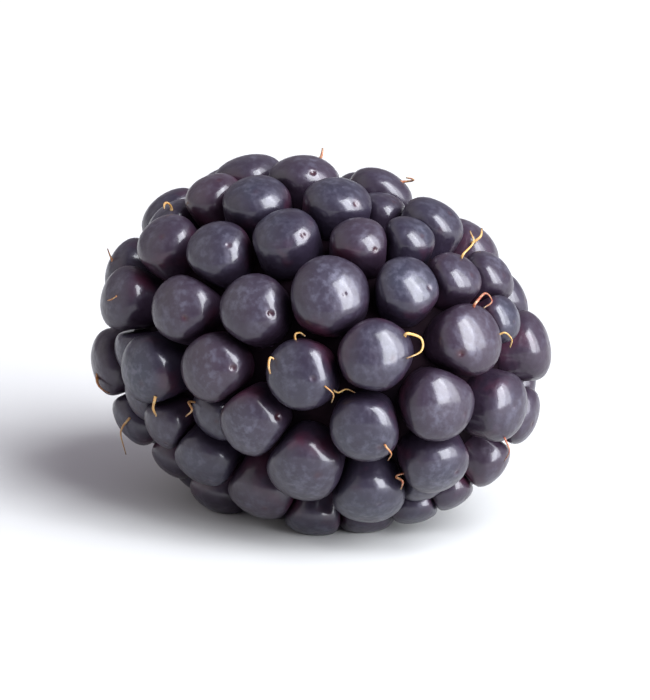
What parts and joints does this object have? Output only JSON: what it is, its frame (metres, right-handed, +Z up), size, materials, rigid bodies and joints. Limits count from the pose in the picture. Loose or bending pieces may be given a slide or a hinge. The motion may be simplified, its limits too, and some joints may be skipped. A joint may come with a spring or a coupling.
{
  "type": "bramble berry",
  "caption": "Ripe bramble berry lying on its side: a blunt egg-shaped cluster of plump drupelets, with a recessed scar where it came off its stalk.",
  "frame": {"origin": "on the resting surface, under the middle of the berry's bounding box", "axes": "+X runs along the berry's long axis from the stalk end to the tip, +Z is up, and +Y completes a right-handed frame"},
  "size_m": [0.0292, 0.0226, 0.022],
  "materials": {
    "drupelet_skin": "taut black-violet fruit skin under a thin grey bloom, with a soft sheen",
    "receptacle": "matt, slightly fibrous olive-yellow flesh of the torn stalk end",
    "dried_style": "dry golden to red-brown hairs, the withered styles of the flower"
  },
  "bodies": {
    "root": {"berry": "drupelet_skin"}
  },
  "joints": []
}
